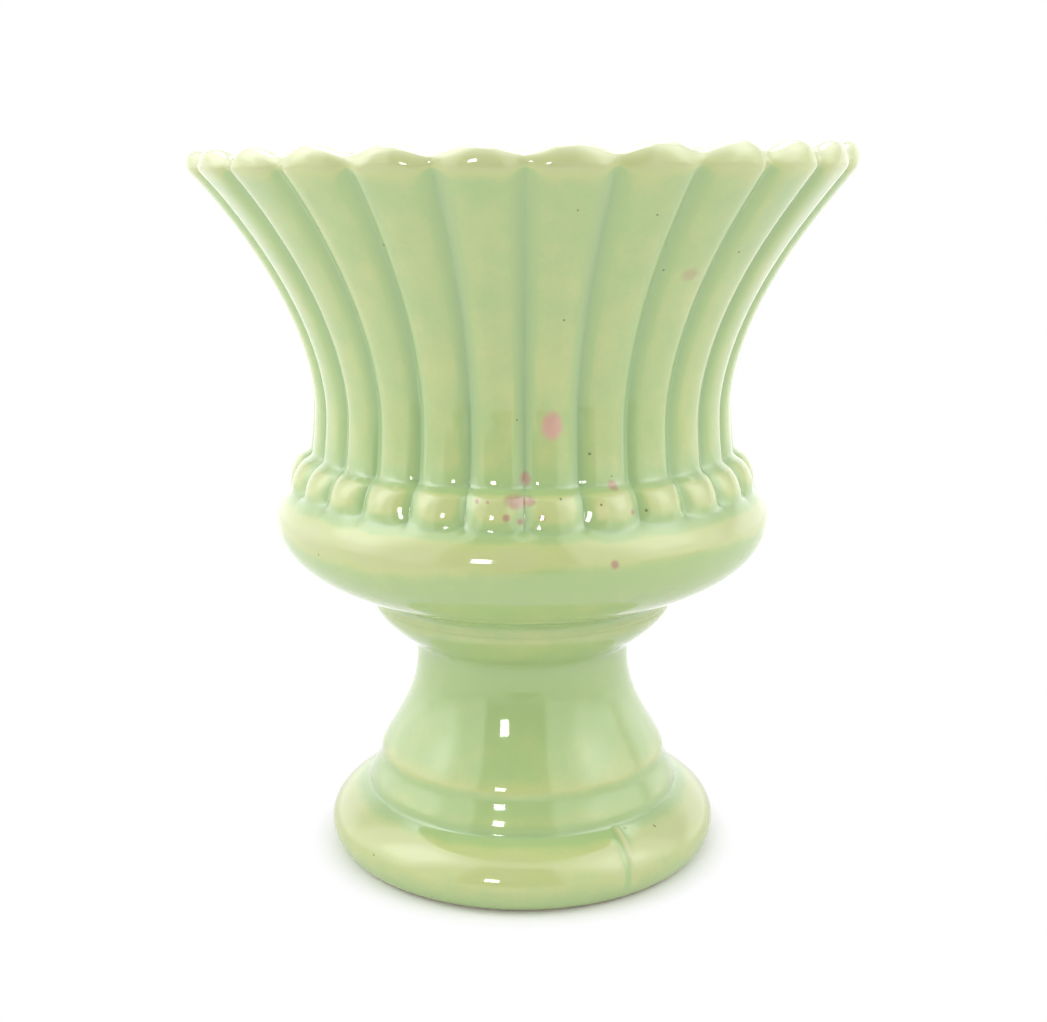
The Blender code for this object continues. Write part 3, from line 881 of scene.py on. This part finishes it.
world = bpy.data.worlds.new("white_tent")
bpy.context.scene.world = world
world.use_nodes = True
sky = world.node_tree
sky.nodes.clear()
sky_path = add_node(sky, "ShaderNodeLightPath")
soft_light = add_node(sky, "ShaderNodeBackground", {"Color": WHITE, "Strength": TENT_LIGHT})
plain_white = add_node(sky, "ShaderNodeBackground", {"Color": WHITE, "Strength": 1.0})
tent = add_node(sky, "ShaderNodeMixShader", {
    0: seen_directly(sky_path), 1: soft_light.outputs[0], 2: plain_white.outputs[0],
})
add_node(sky, "ShaderNodeOutputWorld", {"Surface": tent.outputs[0]})
print("tent light", TENT_LIGHT)

# %% [markdown]
# ## How bright the paper is in reflections
# The glaze mirrors the white paper that the vase stands on. In the mirror the paper is brighter at the
# back and darker towards the front, on the camera's side, and a little dimmer close to the foot. At the
# tent's opening it ends. Lamps could shade a real sheet so, but they would light the vase too, so the
# glow is worked out from the place on the paper.

# %% Paper in reflections
FRONT_PAPER, BACK_PAPER = 0.7, 1.5
PAPER_GRADE = 250 * MM
DIM_NEAR, DIM_FAR, DIM_PAPER = 45 * MM, 100 * MM, 0.85
PAPER_EDGE, BEYOND_PAPER = -270 * MM, 0.1
OPENING_HALF = 120 * MM

paper = bpy.data.materials.new("white_paper")
paper.use_nodes = True
sheet = paper.node_tree
sheet.nodes.clear()
place = add_node(sheet, "ShaderNodeTexCoord").outputs["Object"]
side_place, depth_place, _ = add_node(sheet, "ShaderNodeSeparateXYZ", {0: place}).outputs
from_foot = add_node(sheet, "ShaderNodeVectorMath", {0: place}, operation="LENGTH").outputs["Value"]
towards_back = add_node(sheet, "ShaderNodeMapRange", {
    "Value": depth_place,
    "From Min": -PAPER_GRADE, "From Max": PAPER_GRADE, "To Min": FRONT_PAPER, "To Max": BACK_PAPER,
})
dimming = add_node(sheet, "ShaderNodeMapRange", {
    "Value": from_foot, "From Min": DIM_NEAR, "From Max": DIM_FAR, "To Min": DIM_PAPER, "To Max": 1.0,
})
graded = add_node(sheet, "ShaderNodeMath", {
    0: towards_back.outputs[0], 1: dimming.outputs[0],
}, operation="MULTIPLY")
in_front = add_node(sheet, "ShaderNodeMath", {0: depth_place, 1: PAPER_EDGE}, operation="LESS_THAN")
from_middle_line = add_node(sheet, "ShaderNodeMath", {0: side_place}, operation="ABSOLUTE")
is_narrow = add_node(sheet, "ShaderNodeMath", {
    0: from_middle_line.outputs[0], 1: OPENING_HALF,
}, operation="LESS_THAN")
in_opening = add_node(sheet, "ShaderNodeMath", {
    0: in_front.outputs[0], 1: is_narrow.outputs[0],
}, operation="MULTIPLY")
mirrored_glow = add_node(sheet, "ShaderNodeMix", {
    0: in_opening.outputs[0], 2: graded.outputs[0], 3: BEYOND_PAPER,
}, data_type="FLOAT")
print("mirrored paper", FRONT_PAPER, "in front and", BACK_PAPER, "at the back")

# %% [markdown]
# ## The paper floor
# For the eye the paper is plain white, as in the photograph. Near the foot it keeps its real shading, and
# that gives the soft contact shadow. A shadow catcher could do this in a compositor, but here the floor's
# own material goes over from lit paper to plain white with the distance from the foot.

# %% Paper floor
PAPER = srgb("#F4F4F2")
SHADOW_NEAR, SHADOW_FAR = 39 * MM, 48 * MM
FLOOR_HALF = 3.0

sheet_path = add_node(sheet, "ShaderNodeLightPath")
paper_glow = add_node(sheet, "ShaderNodeMix", {
    0: reflected(sheet_path), 2: 1.0, 3: mirrored_glow.outputs[0],
}, data_type="FLOAT")
lit_paper = add_node(sheet, "ShaderNodeBsdfDiffuse", {"Color": PAPER})
white_paper = add_node(sheet, "ShaderNodeEmission", {"Color": WHITE, "Strength": paper_glow.outputs[0]})
whiteness = add_node(sheet, "ShaderNodeMapRange", {
    "Value": from_foot, "From Min": SHADOW_NEAR, "From Max": SHADOW_FAR,
}, interpolation_type="SMOOTHSTEP")
shown_white = add_node(sheet, "ShaderNodeMath", {
    0: whiteness.outputs[0], 1: seen_directly(sheet_path),
}, operation="MULTIPLY")
paper_look = add_node(sheet, "ShaderNodeMixShader", {
    0: shown_white.outputs[0], 1: lit_paper.outputs[0], 2: white_paper.outputs[0],
})
add_node(sheet, "ShaderNodeOutputMaterial", {"Surface": paper_look.outputs[0]})

floor_mesh = bpy.data.meshes.new("paper_floor")
floor_corners = [(x * FLOOR_HALF, y * FLOOR_HALF, 0.0) for x, y in ((-1, -1), (1, -1), (1, 1), (-1, 1))]
floor_mesh.from_pydata(floor_corners, [], [(0, 1, 2, 3)])
floor_mesh.materials.append(paper)
paper_floor = bpy.data.objects.new("paper_floor", floor_mesh)
bpy.context.scene.collection.objects.link(paper_floor)
print("floor", 2 * FLOOR_HALF, "m wide")

# %% [markdown]
# ## Lamps
# Most of the light is the even light of the tent, so the lamps are weak. A small bright lamp stands
# beside the camera on the left and makes the sharp white sparks on stem, belly and foot. Two larger soft
# panels stand left and right above the vase and make its sides a little brighter than its front. Sun
# lamps would cast hard shadows, so all three are area lamps.

# %% Lamps
LOOK_AT = Vector((0.0, 0.0, 75 * MM))


def outwards(azimuth_deg, elevation_deg):
    """Unit vector away from the vase. Azimuth 0 is the front, 90 is +X."""
    azimuth, elevation = math.radians(azimuth_deg), math.radians(elevation_deg)
    level = math.cos(elevation)
    return Vector((math.sin(azimuth) * level, -math.cos(azimuth) * level, math.sin(elevation)))


def soft_lamp(name, direction, distance, size, radiance, is_mirrored):
    """A rectangular lamp facing the vase, in metres. Power = radiance x pi x area."""
    width, height = size
    light = bpy.data.lights.new(name, "AREA")
    light.shape = "RECTANGLE"
    light.size = width
    light.size_y = height
    light.energy = radiance * math.pi * width * height
    lamp = bpy.data.objects.new(name, light)
    lamp.location = LOOK_AT + direction * distance
    lamp.rotation_euler = direction.to_track_quat("Z", "Y").to_euler()
    lamp.visible_camera = False
    lamp.visible_glossy = is_mirrored
    bpy.context.scene.collection.objects.link(lamp)
    print(name, "power", round(light.energy, 2), "W")


# Each lamp has its name, its direction from the vase, its distance, its size and its radiance.
soft_lamp("spark_lamp", outwards(-17.0, 15.0), 0.44, (0.06, 0.085), 14.0, is_mirrored=True)
soft_lamp("left_panel", outwards(-80.0, 34.0), 0.50, (0.30, 0.28), 3.2, is_mirrored=False)
soft_lamp("right_panel", outwards(72.0, 34.0), 0.50, (0.30, 0.28), 3.0, is_mirrored=False)

# %% [markdown]
# ## What the gloss mirrors
# A gloss glaze is seen as much by what it mirrors as by its colour. In front, the tent's opening is dark.
# The tent's wall glows brightest where the panels shine through it on the left and right, overhead and
# behind the vase. Real lamps there would also light the vase, so each is a card with a soft edge that
# only reflections see, and it lays no light or shadow of its own on the vase.

# %% Cards for the reflections
CARD_CORNERS = [(-0.5, -0.5), (0.5, -0.5), (0.5, 0.5), (-0.5, 0.5)]


def soft_edged_glow(name, strength, softness):
    """An even glow, solid in the middle and clear at its edges: u and v run from 0 to 1, and the edge fades
    over the given share of the half size."""
    glow = bpy.data.materials.new(name)
    glow.use_nodes = True
    tree = glow.node_tree
    tree.nodes.clear()
    centred = add_node(tree, "ShaderNodeVectorMath", {
        0: add_node(tree, "ShaderNodeTexCoord").outputs["UV"], 1: (2.0, 2.0, 0.0), 2: (-1.0, -1.0, 0.0),
    }, operation="MULTIPLY_ADD")
    solid = 1.0
    for axis in ("X", "Y"):
        along = add_node(tree, "ShaderNodeSeparateXYZ", {0: centred.outputs[0]}).outputs[axis]
        from_middle = add_node(tree, "ShaderNodeMath", {0: along}, operation="ABSOLUTE")
        inside = add_node(tree, "ShaderNodeMapRange", {
            "Value": from_middle.outputs[0], "From Min": 1.0, "From Max": 1.0 - softness,
        }, interpolation_type="SMOOTHSTEP")
        both = add_node(tree, "ShaderNodeMath", {0: inside.outputs[0], 1: solid}, operation="MULTIPLY")
        solid = both.outputs[0]
    look = add_node(tree, "ShaderNodeMixShader", {
        0: solid,
        1: add_node(tree, "ShaderNodeBsdfTransparent").outputs[0],
        2: add_node(tree, "ShaderNodeEmission", {"Color": WHITE, "Strength": strength}).outputs[0],
    })
    add_node(tree, "ShaderNodeOutputMaterial", {"Surface": look.outputs[0]})
    return glow


def mirrored_card(name, middle, lean_deg, size, strength, softness):
    """A rectangular card round its middle, turned to the vase and leaning over it, in metres."""
    middle = Vector(middle)
    azimuth_deg = math.degrees(math.atan2(middle.x, -middle.y))
    facing = outwards(azimuth_deg, lean_deg).to_track_quat("Z", "Y")
    places = [middle + facing @ Vector((u * size[0], v * size[1], 0.0)) for u, v in CARD_CORNERS]
    mesh = bpy.data.meshes.new(name)
    mesh.from_pydata(places, [], [(0, 1, 2, 3)])
    for loop, (u, v) in zip(mesh.uv_layers.new(name="card").data, CARD_CORNERS):
        loop.uv = (u + 0.5, v + 0.5)
    mesh.materials.append(soft_edged_glow(name, strength, softness))
    card = bpy.data.objects.new(name, mesh)
    card.visible_camera = False
    card.visible_diffuse = False
    card.visible_shadow = False
    card.visible_transmission = False
    bpy.context.scene.collection.objects.link(card)
    print(name, "seen in reflections at strength", strength)


# Each card has its name, its middle, its lean, its size, its strength and the softness of its edge.
mirrored_card("tent_opening", (-0.05, -0.43, 0.46), 0.0, (0.55, 0.97), 0.1, 0.2)
mirrored_card("left_wall", (-0.45, 0.0, 0.36), 40.0, (0.70, 0.92), 1.95, 0.45)
mirrored_card("right_wall", (0.45, -0.12, 0.36), 40.0, (0.70, 0.92), 1.7, 0.45)
mirrored_card("left_panel_glow", (-0.38, -0.05, 0.37), 40.0, (0.32, 0.48), 3.4, 0.6)
mirrored_card("right_panel_glow", (0.38, -0.13, 0.36), 40.0, (0.38, 0.46), 2.9, 0.7)
mirrored_card("overhead_panel", (0.0, 0.25, 0.80), 89.0, (1.2, 0.80), 6.0, 0.6)
mirrored_card("top_lamp_glow", (0.0, -0.12, 0.80), 89.0, (0.26, 0.14), 12.0, 0.4)
mirrored_card("back_wall", (0.0, 1.0, 0.15), 0.0, (8.0, 1.6), 1.8, 0.6)

# %% [markdown]
# ## Colour view
# The render shows colours as they are written, with the Standard view transform. The
# finished pieces have to stay in the CAD model's box.

# %% View transform
bpy.context.scene.view_settings.view_transform = "Standard"
